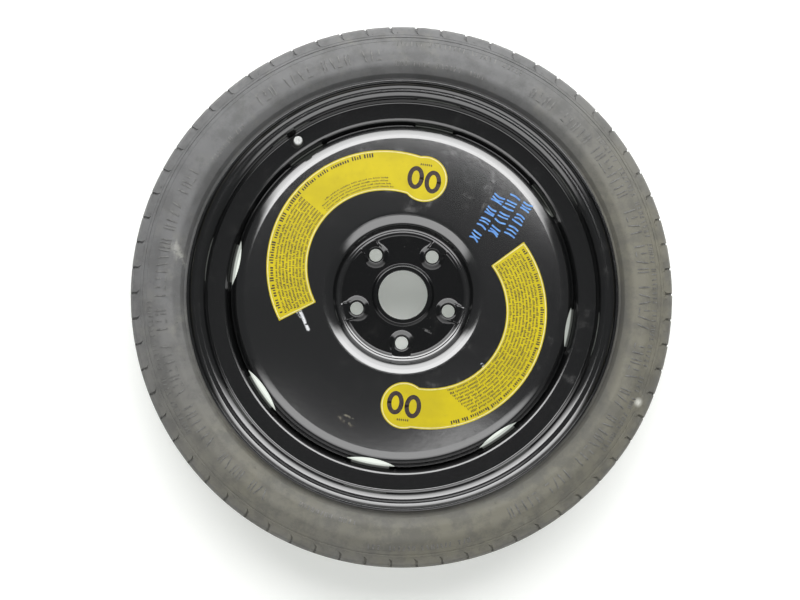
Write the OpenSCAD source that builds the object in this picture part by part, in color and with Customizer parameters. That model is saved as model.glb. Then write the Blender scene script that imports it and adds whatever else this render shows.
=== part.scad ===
// Temporary spare wheel: a narrow tyre on a pressed steel wheel, with its valve.
// It lies on its inner side. +Z is the wheel's axis and points out of its outer face.
// The origin is on that axis, in the middle of the tyre's width.

/* [Tyre] */
// Outer radius of the tyre
tyre_r = 316; // [312:1:322]
// Width of the tyre over its sidewalls
section_w = 125; // [122:1:130]
// Where the sidewall is widest, as a share of its height above the rim's flange
belly_share = 0.3575; // [0.33:0.0025:0.4]
// Half width of the narrow flat ring there, as a share of the same height
flat_share = 0.118; // [0.1:0.002:0.14]
// Width of the tread
tread_w = 100; // [94:1:104]
// How far the tread's edge lies inside the crown
crown_drop = 4.5; // [3:0.5:6]
// Thickness under the crown of the tread
tread_t = 10.5; // [9.5:0.5:13]
// Thickness of the sidewall at its widest place
side_t = 6.8; // [5.5:0.1:8]
// Width of the bead from heel to toe
bead_w = 13.5; // [12:0.5:14.5]
// Number of grooves around the tread
groove_n = 3; // [1:1:4]
// Distance between the tread grooves
groove_pitch = 24; // [20:1:26]
// Width of a tread groove
groove_w = 5; // [3:0.5:7]
// Depth of a tread groove
groove_d = 3; // [2:0.5:4]
// Number of notches in each shoulder of the tread
notch_n = 66; // [48:2:72]
// Width of a shoulder notch
notch_w = 2.6; // [2:0.2:4]
// How far a shoulder notch reaches into the tread
notch_l = 15; // [10:1:18]
// Depth of a shoulder notch
notch_d = 2.4; // [1.5:0.1:3]
// Where a fine line is moulded round the sidewall, as a share of its height
line_share = 0.72; // [0.68:0.01:0.75]

/* [Rim] */
// Radius of the bead seat at the flange
seat_r = 231; // [229:0.5:232]
// Width between the two flanges
rim_w = 88.9; // [86:0.1:92]
// Height of the flange above the bead seat
flange_h = 17.3; // [16:0.1:18]
// Radius of the flange's outward curl
curl_r = 9.5; // [8:0.1:10]
// How far the lip stands out past the flange's inner face
lip_w = 11.2; // [10.5:0.1:13]
// Thickness of the rolled rim
rim_t = 2.8; // [2.2:0.1:3.2]
// Width of the bead seat with its hump
seat_w = 20.5; // [19.8:0.1:22]
// Height of the hump that holds the bead on its seat
hump_h = 1.1; // [0.6:0.1:1.5]
// Depth of the rim's well below the bead seat
well_d = 28.2; // [26:0.1:30]
// Width of the well's floor
well_w = 40.5; // [36:0.5:42]

/* [Disc] */
// Thickness of the pressed disc
disc_t = 4; // [3:0.1:4.5]
// Height of the mounting face above the wheel's middle plane
offset_z = 25.5; // [22:0.5:30]
// Height of the disc's front face above its hub pad
face_h = 15.5; // [13:0.5:18]
// Radius of the disc's rounded shoulder
shoulder_r = 18; // [15:0.5:20]
// How far the disc's skirt reaches below the wheel's middle plane
skirt_drop = 2; // [0:0.5:6]
// Radius where the hub recess reaches the front face
recess_r = 90; // [89:0.5:94]
// Width of the recess's flank, from its steep foot to its gentle top
flank_w = 13; // [12.5:0.1:13.5]
// Radius of the hub pad
pad_r = 70; // [69:0.5:70.5]
// Height of the ledge round the hub pad
ledge_h = 3; // [2.6:0.1:3.5]
// Radius of the lobe round each bolt hole on the disc's back
lobe_r = 17.4; // [17:0.1:18.5]
// Number of wheel bolts
bolt_n = 5; // [4:1:6]
// Diameter of the bolt circle
bolt_circle = 112; // [108:0.5:114.3]
// Radius of a bolt hole
bolt_r = 7.5; // [6.5:0.1:8]
// Angle of the first bolt hole
bolt_angle = 52.4; // [0:0.1:72]
// Radius of the ball seat in each bolt hole
ball_r = 13; // [12:0.5:14]
// Height of the raised boss round each bolt hole
collar_h = 2.5; // [2:0.1:2.5]
// Radius of the centre bore
bore_r = 28.55; // [27:0.05:31]
// Number of slots between disc and rim
slot_n = 8; // [6:1:9]
// Angle of the first slot
slot_angle = 34.2; // [0:0.1:45]
// Radius of a slot's rounded inner edge
slot_r = 86; // [80:1:92]
// How far a slot cuts in from the disc's skirt
slot_in = 8; // [7:0.1:9]
// Length of a weld bead, as an angle
weld_turn = 15; // [10:1:18]
// Leg of a weld bead
weld_leg = 4.5; // [3:0.5:6]

/* [Valve] */
// Angle of the valve round the wheel
valve_angle = 124.6; // [100:0.1:150]
// Distance of the valve hole from the well's floor, up the well's wall
valve_up = 16; // [15:0.1:16.5]
// Radius of the valve hole
valve_hole_r = 5.75; // [5.65:0.05:6]
// Length of the valve's rubber above the rim
stem_h = 16.5; // [14:0.5:20]
// Radius of the rubber stem at its top
stem_r = 4.7; // [4.5:0.1:5]
// Depth of the valve's rubber foot below the rim
foot_h = 11; // [9:0.5:13]
// Radius of the brass tube inside the rubber
tube_r = 3.5; // [3.3:0.1:3.6]
// Radius of the tube's threaded tip
thread_r = 3.85; // [3.7:0.05:4]
// Length of the threaded tip
thread_h = 9; // [8:0.5:11]
// Radius of the valve core's room in the tube
core_r = 2.6; // [2.5:0.05:2.7]
// Length of the valve core's housing
core_h = 13.5; // [12:0.5:15]
// Radius of the core's pin
pin_r = 0.55; // [0.45:0.05:0.6]
// Travel of the pin
pin_travel = 1.2; // [0.8:0.1:1.5]
// Radius of the cap over its ribs
cap_r = 5.25; // [5.1:0.05:6]
// Number of grip ribs round the cap
rib_n = 20; // [12:1:24]
// Thickness of the cap's end
cap_top = 1.7; // [1.2:0.1:2.5]
// Thickness of the sealing disc in the cap
seal_t = 1.2; // [0.8:0.1:1.6]

/* [Labels] */
// Inner radius of a label's curved band
label_in_r = 89; // [86:0.5:92]
// Outer radius of a label's curved band
label_out_r = 136; // [130:0.5:138]
// Radius of a label's round head
head_r = 26.8; // [25:0.1:27.5]
// Length of a label's band from head to end, as an angle
label_turn = 141.5; // [120:0.5:150]
// Thickness of a label
label_t = 0.2; // [0.1:0.05:0.4]
// Distance of the upper label's centre from the wheel's axis
label_a_r = 38.1; // [36:0.1:40]
// Angle of the upper label's centre
label_a_turn = 124.9; // [120:0.1:130]
// Angle of the upper label's head
label_a_head = 65.8; // [60:0.1:70]
// Distance of the lower label's centre from the wheel's axis
label_b_r = 35.9; // [34:0.1:38]
// Angle of the lower label's centre
label_b_turn = -33.1; // [-38:0.1:-28]
// Angle of the lower label's head
label_b_head = -105.2; // [-110:0.1:-100]

/* [Hidden] */
$fn = 128;

// Clearance between the tyre's bead and the rim
bead_gap = 0.2;
// Clearance between the disc's skirt and the rim's well
skirt_gap = 0.12;
// Clearance between parts that are bonded, welded or screwed together
joint_gap = 0.05;
// Clearance round small parts that move on each other
slide_gap = 0.15;
// Steps in each rounded corner of a profile
arc_steps = 5;
// Amount by which a cutting shape runs past the surface that it cuts
past = 1;
// Slope of the bead seat and radius of its heel
seat_slope = tan(5);
heel_r = 6.5;
// Length of the hump across the seat
hump_l = 7;
// Radii of the bends at the top and the foot of the well's walls
top_bend_r = 4.5;
foot_bend_r = 8;
// Fall of the lip towards its edge
lip_fall = 0.6;
// Bend between the bead seat and its hump, and bend over the hump
hump_bend = [2, 3];

half_w = rim_w / 2;
flange_r = seat_r + flange_h;
well_r = seat_r - well_d;
well_in_r = well_r - rim_t;
curl_centre = [flange_r - curl_r, half_w + curl_r];

// The rolled rim's outboard half on its tyre side, from lip to well: radius, height, bend
wall_top = [seat_r - seat_w * seat_slope, half_w - seat_w];
wall_foot = [well_r, well_w / 2];
rim_half = [
    [flange_r - lip_fall, half_w + lip_w, 0],
    [flange_r, half_w, curl_r],
    [seat_r, half_w, heel_r],
    [seat_r - (seat_w - hump_l) * seat_slope, half_w - seat_w + hump_l, hump_bend[0]],
    [seat_r - seat_w * seat_slope + hump_h, half_w - seat_w + hump_l / 2, hump_bend[1]],
    [wall_top[0], wall_top[1], top_bend_r],
    [wall_foot[0], wall_foot[1], foot_bend_r]
];

// The well's outboard wall carries the valve, square to its face
wall_way = unit(wall_top - wall_foot);
valve_tilt = atan2(wall_way[1], wall_way[0]);
valve_seat = wall_foot + wall_way * valve_up + left_of(wall_way) * rim_t;

// Heights of the disc's parts
pad_z = offset_z + disc_t;
ledge_z = pad_z + ledge_h;
face_z = pad_z + face_h;
skirt_r = well_in_r - skirt_gap;
collar_z = pad_z + collar_h;
// Where the flank turns from steep to gentle, as shares of its width and of its rise
flank_turn = [0.33, 0.67];
// Bends of the sheet at the flank's foot, at that turn and at the flank's top
flank_bend = [4, 8, 26];
// Radius of the ball seat's mouth and of the boss's top, and the boss's slope towards the hub
mouth_r = bolt_r + 2;
collar_r = mouth_r + 0.3;
collar_slope = 4.2;
// Height of the fine edge between the boss's top and its slope
collar_edge = 0.1;
// Relief on the back of each bolt hole: radii beyond the hole's at its mouth and its floor, and depth
relief_mouth = 6.5;
relief_floor = 4.5;
relief_d = 1;
// Width of the sloping step round the hub pad, and how far the pad's back stands out past it
step_w = 3;
boss_out = 2;
// Overlap of the flat ledge with the sheet outside it
ledge_out = 5;
ledge_lap = 1;
// The bore's drawn edge: widths beyond the bore of its root, back, bend and the hole that it fills
bore_root = 8;
bore_back = 6;
bore_bend = 5;
bore_hole = 4;
// How far it rises above the pad, and the radii of its three bends
bore_rise = 2.6;
bore_bends = [2.5, 2.2, 0.8];

// Heights along the valve, measured out from the rim's visible face
tip_z = stem_h + thread_h;
core_drop = 0.9;
cap_room = 0.5;
seal_gap = 0.1;
core_top = tip_z - core_drop;
core_foot = core_top - core_h;
cap_foot = stem_h + cap_room;
seal_z = tip_z + seal_gap;
cap_end = seal_z + seal_t + joint_gap + cap_top;
cap_in_r = thread_r + slide_gap;
// The cup at the pin's foot, and the room that it has to travel in
cup_z = core_foot - 0.8;
cup_h = 1.2;
cup_edge = 0.5;
cup_room = 0.8;
// Plain stretch of the cap below its own thread
cap_skirt = 3.7;

function xy(p) = [p[0], p[1]];
function unit(v) = v / norm(v);
function left_of(v) = [-v[1], v[0]];
function flipped(path) = [for (i = [len(path) - 1:-1:0]) path[i]];
function other_side(path) = [for (p = flipped(path)) [p[0], -p[1], p[2]]];

// Points of an arc about a centre
function arc(centre, r, from, turn, steps = arc_steps) =
    [for (i = [0:steps]) centre + r * [cos(from + turn * i / steps), sin(from + turn * i / steps)]];

// The arc of radius r that rounds corner b on the way from a to c
function corner(a, b, c, r) =
    let (
        back = unit(a - b),
        on = unit(c - b),
        half = acos(back * on) / 2,
        centre = b + unit(back + on) * r / sin(half),
        start = b + back * r / tan(half) - centre
    )
    arc(centre, r, atan2(start[1], start[0]), sign(cross(-back, on)) * (180 - 2 * half));

// A path of corners, each with its own rounding radius, as plain points
function rounded(path) = [
    for (i = [0:len(path) - 1])
        if (i == 0 || i == len(path) - 1 || path[i][2] == 0) xy(path[i])
        else each corner(xy(path[i - 1]), xy(path[i]), xy(path[i + 1]), path[i][2])
];

// The same path moved sideways by t, to its left
function beside(path, t) = [
    for (i = [0:len(path) - 1])
        let (
            j = max(i, 1),
            k = min(i + 1, len(path) - 1),
            before = left_of(unit(path[j] - path[j - 1])),
            after = left_of(unit(path[k] - path[k - 1])),
            way = unit(before + after)
        )
        path[i] + way * t / (way * before)
];

// Outline of a sheet of thickness t whose right-hand face follows the path
function sheet(path, t) = concat(path, flipped(beside(path, t)));

// Puts a shape on the valve's seat, with its own z along the valve
module at_valve() {
    rotate([0, 0, valve_angle])
        translate([valve_seat[0], 0, valve_seat[1]])
            rotate([0, -valve_tilt, 0])
                children();
}

// Repeats a shape n times round the wheel's axis
module around(n, first = 0) {
    for (i = [0:n - 1])
        rotate([0, 0, first + i * 360 / n])
            children();
}

// Height of the tread's edge, and radius of the crown at height z
edge_z = tread_w / 2;
edge_r = tyre_r - crown_drop;
function crown(z) = tyre_r - crown_drop * pow(z / edge_z, 2);
// The crown stops where the shoulder's bend begins
crown_end = edge_z / 1.1;
crown_steps = 6;
crown_points = [
    for (i = [-crown_steps:crown_steps])
        let (z = crown_end * i / crown_steps)
        [crown(z), z]
];

// Height of the sidewall, and the radius at a share of it
side_h = tyre_r - flange_r;
function up_side(share) = flange_r + share * side_h;
belly_r = up_side(belly_share);
belly_z = section_w / 2;

// Where the bead starts and ends to wrap the flange's curl, as angles
wrap_from = -78;
wrap_turn = 58;
// The rib over the flange's lip: shares of the side's height, and heights above the flange's face
rib_share = [0.038, 0.096];
rib_z = [7, 12.5];
// Bends of the rib and of the flat ring's two edges, as shares of the side's height
rib_bend = [1, 0.059];
belly_bend = [0.177, 0.295];
// Place of the shoulder's corner beside the tread's edge, and its bend
shoulder_in = 2.5;
shoulder_out = 1.5;
shoulder_bend = 4;

// The tyre's outer surface, from the bead's toe to the tread's edge
bead_half = concat(
    rounded([
        [seat_r - bead_w * seat_slope + bead_gap, half_w - bead_w, 0],
        [seat_r + bead_gap, half_w - bead_gap, heel_r + 1],
        [curl_centre[0], half_w - bead_gap, 0]
    ]),
    arc(curl_centre, curl_r + bead_gap, wrap_from, wrap_turn)
);
side_half = rounded([
    [bead_half[len(bead_half) - 1][0], bead_half[len(bead_half) - 1][1], 0],
    [up_side(rib_share[0]), half_w + rib_z[0], rib_bend[0]],
    [up_side(rib_share[1]), half_w + rib_z[1], side_h * rib_bend[1]],
    [up_side(belly_share - flat_share), belly_z, side_h * belly_bend[0]],
    [up_side(belly_share + flat_share), belly_z, side_h * belly_bend[1]],
    [edge_r - shoulder_in, edge_z + shoulder_out, shoulder_bend],
    [crown(crown_end), crown_end, 0]
]);
outer_half = concat(bead_half, [for (i = [1:len(side_half) - 2]) side_half[i]]);

// The lining at the bead: width and bend of the toe, then the bead's inner corner and its bend
toe_w = 3;
toe_bend = 2;
bead_in = 6;
bead_drop = 9.5;
bead_bend = 10;
// The lining beside the belly and in the shoulder, as shares of the side's height
neck_share = 0.236;
neck_drop = 0.066;
belly_rise = 0.025;
lining_bend = 0.27;
crotch_share = 0.251;
crotch_bend = 0.236;
belt_bend = 0.207;
// Where the lining's shoulder starts and ends, in from the tread's edge
crotch_in = 1;
belt_in = 17;

// The tyre's lining, from the bead's toe to the crown
lining_half = rounded([
    [seat_r - bead_w * seat_slope + bead_gap, half_w - bead_w, 0],
    [seat_r + toe_w, half_w - bead_w, toe_bend],
    [flange_r - bead_in, half_w - bead_drop, bead_bend],
    [up_side(belly_share - neck_share), belly_z - side_t - side_h * neck_drop, side_h * crotch_bend],
    [belly_r, belly_z - side_t + side_h * belly_rise, side_h * lining_bend],
    [edge_r - side_h * crotch_share, edge_z - crotch_in, side_h * crotch_bend],
    [tyre_r - tread_t, edge_z - belt_in, side_h * belt_bend],
    [tyre_r - tread_t, 0, 0]
]);
function mirrored(path) = [for (p = flipped(path)) [p[0], -p[1]]];
tyre_outline = concat(
    outer_half, flipped(crown_points), mirrored(outer_half),
    [for (i = [1:len(lining_half) - 1]) [lining_half[i][0], -lining_half[i][1]]],
    [for (i = [len(lining_half) - 2:-1:1]) lining_half[i]]
);

// Height of the straight part of the sidewall between its flat ring and the tread
function sidewall_z(r) =
    let (
        a = [up_side(belly_share + flat_share), belly_z],
        b = [edge_r - shoulder_in, edge_z + shoulder_out]
    )
    a[1] + (b[1] - a[1]) * (r - a[0]) / (b[0] - a[0]);

// How far a notch runs down the sidewall, its depth there, and where its floor turns into the tread
notch_down = 9;
notch_end_d = 1.4;
notch_turn = 6;
notch_far = belly_z + past;
// Half width of the fine line round the sidewall
line_w = 0.9;

// Side view of a notch in the tread's shoulder
notch_outline = [
    [edge_r - notch_down, notch_far],
    [edge_r - notch_down, sidewall_z(edge_r - notch_down) - notch_end_d],
    [edge_r - shoulder_in - notch_d * cos(37), edge_z + shoulder_out / 2 - notch_d],
    [crown(edge_z - notch_turn) - notch_d, edge_z - notch_turn],
    [crown(edge_z - notch_l) - notch_d, edge_z - notch_l],
    [tyre_r + past, edge_z - notch_l],
    [tyre_r + past, notch_far]
];

module notch() {
    rotate([90, 0, 0])
        translate([0, 0, -notch_w / 2])
            linear_extrude(notch_w)
                polygon(notch_outline);
}

module tyre() {
    mould_r = up_side(line_share);
    color([0.16, 0.165, 0.15])
        difference() {
            rotate_extrude()
                difference() {
                    polygon(tyre_outline);
                    for (i = [0:groove_n - 1])
                        translate([tyre_r - groove_d, (i - (groove_n - 1) / 2) * groove_pitch - groove_w / 2])
                            square([2 * groove_d, groove_w]);
                    for (side = [-1, 1])
                        translate([mould_r, side * sidewall_z(mould_r)])
                            circle(r = line_w, $fn = 16);
                }
            around(notch_n)
                notch();
            around(notch_n, 180 / notch_n)
                mirror([0, 0, 1])
                    notch();
        }
}

module rim() {
    color([0.05, 0.05, 0.055])
        difference() {
            rotate_extrude()
                polygon(sheet(flipped(rounded(concat(rim_half, other_side(rim_half)))), rim_t));
            at_valve()
                translate([0, 0, -2 * rim_t])
                    cylinder(r = valve_hole_r, h = 4 * rim_t);
        }
}

// The hub pad's back as a block: a round middle and one lobe for each bolt
module pad_back() {
    translate([0, 0, offset_z])
        linear_extrude(ledge_h)
            union() {
                circle(r = pad_r + boss_out);
                around(bolt_n, bolt_angle)
                    translate([bolt_circle / 2, 0])
                        circle(r = lobe_r + boss_out);
            }
}

// The raised bosses round the bolt holes, each of which runs out into the step round the pad
module bosses() {
    lean = collar_slope / collar_h;
    translate([0, 0, pad_z - past])
        linear_extrude(collar_h + past)
            around(bolt_n, bolt_angle)
                translate([bolt_circle / 2, 0])
                    union() {
                        circle(r = collar_r);
                        translate([0, -collar_r])
                            square([pad_r + step_w - bolt_circle / 2, 2 * collar_r]);
                    }
    around(bolt_n, bolt_angle)
        translate([bolt_circle / 2, 0, pad_z - past])
            cylinder(
                r1 = collar_r + lean * (collar_h + past),
                r2 = collar_r + lean * collar_edge,
                h = collar_h + past - collar_edge
            );
}

// The pressed sheet from the ledge round the hub out to the edge of the skirt
module disc_sheet() {
    foot_r = recess_r - flank_w;
    front = rounded([
        [pad_r + ledge_out - ledge_lap, ledge_z, 0],
        [foot_r, ledge_z, flank_bend[0]],
        [foot_r + flank_w * flank_turn[0], ledge_z + (face_z - ledge_z) * flank_turn[1], flank_bend[1]],
        [recess_r, face_z, flank_bend[2]],
        [skirt_r, face_z, shoulder_r],
        [skirt_r, -skirt_drop, 0]
    ]);
    rotate_extrude()
        polygon(sheet(front, -disc_t));
}

// The drawn edge of the centre bore
module bore_collar() {
    rotate_extrude()
        polygon(rounded([
            [bore_r + bore_root, offset_z + disc_t / 2, 0],
            [bore_r + bore_root, pad_z, 0],
            [bore_r + bore_bend, pad_z + bore_rise, bore_bends[0]],
            [bore_r, pad_z + bore_rise, bore_bends[1]],
            [bore_r, offset_z, bore_bends[2]],
            [bore_r + bore_back, offset_z, 0]
        ]));
}

// The ball seat and hole for one bolt
module bolt_seat() {
    ball_z = collar_z + sqrt(pow(ball_r, 2) - pow(mouth_r, 2));
    translate([0, 0, ball_z])
        sphere(r = ball_r);
    translate([0, 0, offset_z - past])
        cylinder(r = bolt_r, h = collar_h + disc_t);
    translate([0, 0, offset_z - past])
        cylinder(r1 = bolt_r + relief_mouth + past, r2 = bolt_r + relief_floor, h = past + relief_d);
}

module disc() {
    color([0.06, 0.06, 0.065])
        difference() {
            union() {
                difference() {
                    union() {
                        disc_sheet();
                        pad_back();
                        translate([0, 0, ledge_z - disc_t])
                            cylinder(r = pad_r + ledge_out, h = disc_t);
                    }
                    translate([0, 0, pad_z])
                        cylinder(r1 = pad_r, r2 = pad_r + step_w * (1 + past / ledge_h), h = ledge_h + past);
                    cylinder(r = bore_r + bore_hole, h = face_z);
                }
                bore_collar();
                bosses();
            }
            around(bolt_n, bolt_angle)
                translate([bolt_circle / 2, 0, 0])
                    bolt_seat();
            around(slot_n, slot_angle)
                translate([skirt_r - slot_in + slot_r, 0, -skirt_drop - past])
                    cylinder(r = slot_r, h = face_z + skirt_drop + 2 * past);
        }
}

// Fillet welds between the skirt's edge and the rim's well, one on each ear of the disc
module weld_beads() {
    // Section of the bead, in from the skirt and down from its edge, in legs
    bulge = [[0, 0], [1, 0], [0.8, 0.55], [0.4, 0.95], [0, 1.1]];
    edge = [skirt_r, -skirt_drop - joint_gap];
    color([0.07, 0.07, 0.075])
        around(slot_n, slot_angle + 180 / slot_n)
            rotate([0, 0, -weld_turn / 2])
                rotate_extrude(angle = weld_turn)
                    polygon([for (p = bulge) edge - weld_leg * p]);
}

// The snap-in rubber body: foot below the rim, neck in its hole, collar and stem above
module valve_body() {
    neck_r = valve_hole_r - joint_gap;
    foot_r = valve_hole_r + 3.2;
    foot_end_r = valve_hole_r + 0.2;
    foot_taper = 0.35;
    lip_r = neck_r + 1.7;
    lip_top = 3.5;
    waist_r = stem_r + 0.7;
    waist_z = 7;
    below = -rim_t - joint_gap;
    color([0.04, 0.04, 0.04])
        at_valve()
            rotate_extrude()
                polygon(rounded([
                    [tube_r + joint_gap, below - foot_h, 0],
                    [foot_end_r, below - foot_h, 1],
                    [foot_r, below - foot_h * foot_taper, 2],
                    [foot_r, below, 0.6],
                    [neck_r, below, 0],
                    [neck_r, joint_gap, 0],
                    [lip_r, joint_gap, 0.5],
                    [lip_r - 0.3, lip_top, 2],
                    [waist_r, waist_z, 6],
                    [stem_r, stem_h, 0.5],
                    [tube_r + joint_gap, stem_h, 0]
                ]));
}

// The core's seat in the tube: narrower by seat_in, reached over a cone
seat_in = 0.5;
seat_z = core_foot + 1.5;
cone_h = 1.5;
// Radius of the tube's air way, chamfers of its mouth inside and outside
air_r = 1.4;
tip_in = [0.15, 0.3];
tip_out = 0.6;

// The brass tube: foot moulded into the rubber, threaded tip and the core's room
module valve_tube() {
    foot_z = -rim_t - foot_h - past;
    throat_z = cup_z - cup_h - pin_travel - cup_room;
    color([0.72, 0.60, 0.32])
        at_valve()
            rotate_extrude()
                polygon([
                    [air_r, foot_z],
                    [tube_r, foot_z],
                    [tube_r, stem_h + joint_gap],
                    [thread_r, stem_h + joint_gap],
                    [thread_r, tip_z - tip_out],
                    [thread_r - tip_out, tip_z],
                    [core_r + tip_in[0], tip_z],
                    [core_r, tip_z - tip_in[1]],
                    [core_r, seat_z + cone_h],
                    [core_r - seat_in, seat_z],
                    [core_r - seat_in, throat_z],
                    [air_r, throat_z - past]
                ]);
}

// Height of the housing's screwed plug, of the wall above the spring and of the floor below it
plug_h = 4;
roof_h = 5;
floor_h = 1.6;
barrel_wall = 0.45;

// The valve core's housing: screwed plug above, narrow barrel with the spring's room below
module core_housing() {
    plug_r = core_r - joint_gap;
    barrel_r = core_r - seat_in - joint_gap;
    hole_r = pin_r + slide_gap;
    room_r = barrel_r - barrel_wall;
    mouth = [0.3, 0.4];
    color([0.80, 0.68, 0.38])
        at_valve()
            rotate_extrude()
                polygon([
                    [hole_r, core_top],
                    [plug_r, core_top],
                    [plug_r, core_top - plug_h],
                    [barrel_r, core_top - plug_h - mouth[1]],
                    [barrel_r, core_foot],
                    [hole_r + mouth[0], core_foot],
                    [hole_r, core_foot + mouth[1]],
                    [hole_r, core_foot + floor_h],
                    [room_r, core_foot + floor_h],
                    [room_r, core_top - roof_h],
                    [hole_r, core_top - roof_h + room_r - hole_r]
                ]);
}

// The soft ring round the barrel that seals it in the tube
module core_gasket() {
    gasket_h = 3;
    inner = core_r - seat_in;
    outer = core_r - joint_gap;
    taper = [0.2, 0.6];
    color([0.75, 0.15, 0.12])
        at_valve()
            translate([0, 0, core_top - 2 * plug_h])
                rotate_extrude()
                    polygon([
                        [inner, 0],
                        [outer - taper[0], 0],
                        [outer, taper[1]],
                        [outer, gasket_h],
                        [inner, gasket_h]
                    ]);
}

// The return spring round the pin, as a coil of round wire
spring_r = 1.02;
wire_r = 0.14;
spring_turns = 7;
ring_sides = 6;
turn_steps = 14;
// The pin's collar above the spring: its top below the housing's, its height and its width
collar_top = core_top - 5.6;
collar_t = 0.4;
collar_w = 0.6;
spring_foot = core_foot + floor_h + wire_r + joint_gap;
spring_top = collar_top - collar_t - 2 * wire_r - 0.02;
spring_rise = spring_top - spring_foot;
spring_steps = spring_turns * turn_steps;
function spring_ring(i) = [
    for (k = [0:ring_sides - 1])
        let (
            a = 360 * i / turn_steps,
            b = 360 * k / ring_sides,
            r = spring_r + wire_r * cos(b)
        )
        [r * cos(a), r * sin(a), spring_foot + spring_rise * i / spring_steps + wire_r * sin(b)]
];
module core_spring() {
    points = [for (i = [0:spring_steps]) each spring_ring(i)];
    sides = [
        for (i = [0:spring_steps - 1])
            for (k = [0:ring_sides - 1])
                let (m = (k + 1) % ring_sides, a = i * ring_sides, b = (i + 1) * ring_sides)
                each [[a + k, b + k, b + m], [a + k, b + m, a + m]]
    ];
    ends = [
        [for (k = [0:ring_sides - 1]) k],
        [for (k = [ring_sides - 1:-1:0]) spring_steps * ring_sides + k]
    ];
    color([0.6, 0.6, 0.62])
        at_valve()
            polyhedron(points = points, faces = concat(sides, ends));
}

// The sprung pin: head above, collar that the spring pushes, and cup below the barrel
module core_pin() {
    cup_r = core_r - 0.85;
    cup_foot_r = pin_r + 0.3;
    pin_top = tip_z - tip_in[1];
    color([0.82, 0.72, 0.42])
        at_valve()
            rotate_extrude()
                polygon([
                    [0, pin_top],
                    [pin_r, pin_top],
                    [pin_r, collar_top],
                    [pin_r + collar_w, collar_top],
                    [pin_r + collar_w, collar_top - collar_t],
                    [pin_r, collar_top - collar_t],
                    [pin_r, cup_z],
                    [cup_r, cup_z],
                    [cup_r, cup_z - cup_edge],
                    [cup_foot_r, cup_z - cup_h],
                    [0, cup_z - cup_h]
                ]);
}

// The rubber washer on the pin's cup, which closes the barrel from below
module pin_seal() {
    washer_r = core_r - 0.9;
    washer_t = 0.6;
    color([0.08, 0.08, 0.08])
        at_valve()
            translate([0, 0, cup_z + joint_gap])
                difference() {
                    cylinder(r = washer_r, h = washer_t);
                    translate([0, 0, -past])
                        cylinder(r = pin_r + joint_gap, h = washer_t + 2 * past);
                }
}

// The screwed cap with its grip ribs and a dimple in its end
module valve_cap() {
    rib_r = 0.4;
    wall_r = cap_r - rib_r;
    edge_bend = 0.9;
    dimple_r = 1.7;
    dimple_up = 1.2;
    color([0.80, 0.81, 0.80])
        at_valve()
            difference() {
                union() {
                    rotate_extrude()
                        polygon(rounded([
                            [0, cap_foot, 0],
                            [wall_r, cap_foot, 0],
                            [wall_r, cap_end, edge_bend],
                            [0, cap_end, 0]
                        ]));
                    around(rib_n)
                        translate([wall_r, 0, cap_foot])
                            cylinder(r = rib_r, h = cap_end - cap_foot - 3 * rib_r, $fn = 16);
                }
                translate([0, 0, cap_foot - past])
                    cylinder(r = cap_in_r, h = cap_end - cap_top - cap_foot + past);
                translate([0, 0, cap_foot - past])
                    cylinder(r = cap_in_r + slide_gap, h = cap_skirt + past);
                translate([0, 0, cap_end + dimple_up])
                    sphere(r = dimple_r);
            }
}

// The soft disc inside the cap that closes the tube's mouth
module cap_seal() {
    color([0.10, 0.10, 0.10])
        at_valve()
            translate([0, 0, seal_z])
                cylinder(r = cap_in_r - joint_gap * 2, h = seal_t);
}

// A stuck-on label: a curved band with one round head and one straight end
module label(centre_r, centre_turn, head_angle) {
    mid_r = (label_in_r + label_out_r) / 2;
    far_r = label_out_r + past;
    color([0.93, 0.83, 0.07])
        translate([centre_r * cos(centre_turn), centre_r * sin(centre_turn), face_z])
            rotate([0, 0, head_angle])
                linear_extrude(label_t)
                    union() {
                        translate([mid_r, 0])
                            circle(r = head_r);
                        difference() {
                            circle(r = label_out_r);
                            circle(r = label_in_r);
                            translate([-far_r, -far_r])
                                square([2 * far_r, far_r]);
                            rotate([0, 0, label_turn])
                                translate([-far_r, 0])
                                    square([2 * far_r, far_r]);
                        }
                    }
}

module upper_label() {
    label(label_a_r, label_a_turn, label_a_head);
}

module lower_label() {
    label(label_b_r, label_b_turn, label_b_head);
}

tyre();
rim();
disc();
weld_beads();
valve_body();
valve_tube();
core_housing();
core_gasket();
core_spring();
core_pin();
pin_seal();
valve_cap();
cap_seal();
upper_label();
lower_label();
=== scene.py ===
import math
import random

import bmesh
import bpy
import numpy as np
from mathutils import Matrix, Vector
from mathutils.geometry import delaunay_2d_cdt


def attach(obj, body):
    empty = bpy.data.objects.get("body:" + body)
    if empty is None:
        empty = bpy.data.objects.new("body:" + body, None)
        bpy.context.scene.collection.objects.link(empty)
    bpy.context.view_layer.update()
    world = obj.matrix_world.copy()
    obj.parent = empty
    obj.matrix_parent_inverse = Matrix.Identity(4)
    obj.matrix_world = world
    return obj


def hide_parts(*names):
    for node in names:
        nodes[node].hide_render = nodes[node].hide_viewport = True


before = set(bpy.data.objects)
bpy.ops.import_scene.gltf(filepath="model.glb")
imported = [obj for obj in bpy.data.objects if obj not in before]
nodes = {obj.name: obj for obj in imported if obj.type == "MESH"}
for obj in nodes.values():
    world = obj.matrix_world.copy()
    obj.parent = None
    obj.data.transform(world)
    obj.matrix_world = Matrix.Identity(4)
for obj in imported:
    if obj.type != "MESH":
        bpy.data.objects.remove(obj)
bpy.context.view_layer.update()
MM = 0.001
rng = random.Random(7)

# Profiles, in mm


def unit(v):
    return v / np.linalg.norm(v)


def arc(centre, r, start, turn, steps):
    """Points of an arc about a centre, angles in degrees."""
    a = np.radians(start + turn * np.arange(steps + 1) / steps)
    return [np.array([centre[0] + r * math.cos(t), centre[1] + r * math.sin(t)]) for t in a]


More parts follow.
